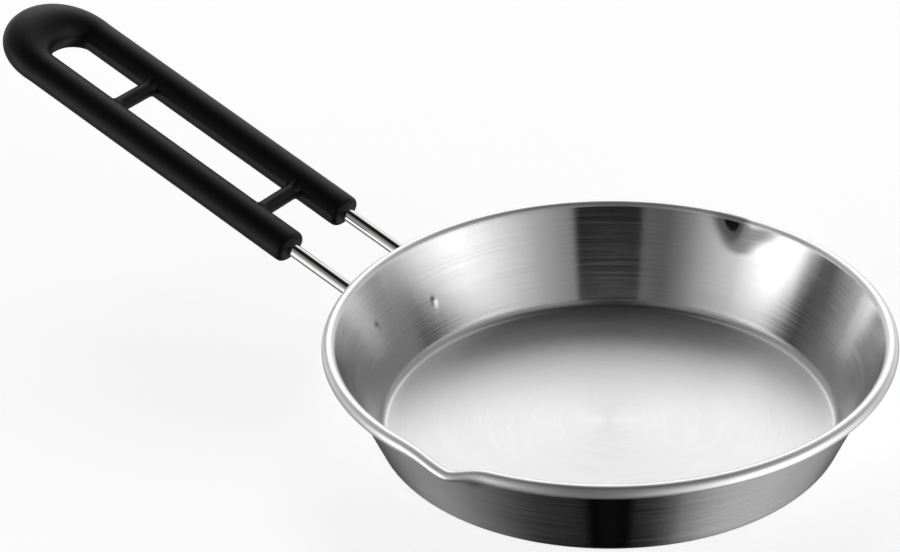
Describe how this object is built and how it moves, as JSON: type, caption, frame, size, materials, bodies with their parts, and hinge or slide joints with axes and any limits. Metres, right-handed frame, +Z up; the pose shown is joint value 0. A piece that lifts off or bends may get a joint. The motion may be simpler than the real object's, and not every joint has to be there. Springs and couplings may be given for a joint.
{
  "type": "frying pan",
  "caption": "Small flared steel frying pan with a rolled rim, two pour lips and a welded rod handle with a black moulded loop grip.",
  "frame": {"origin": "middle of the pan's flat underside", "axes": "+Z up out of the pan, -X along the handle, Y across it with a pour lip near each end"},
  "size_m": [0.3715, 0.2056, 0.0958],
  "materials": {
    "pan_steel": "fine circular brushing, bright",
    "rod_steel": "polished round steel rod",
    "cross_rod_steel": "plain drawn rod",
    "black_grip": "satin moulded phenolic"
  },
  "bodies": {
    "root": {"pan_body": "pan_steel", "handle_rod": "rod_steel", "front_cross_rod": "cross_rod_steel", "rear_cross_rod": "cross_rod_steel", "handle_grip": "black_grip"}
  },
  "joints": []
}
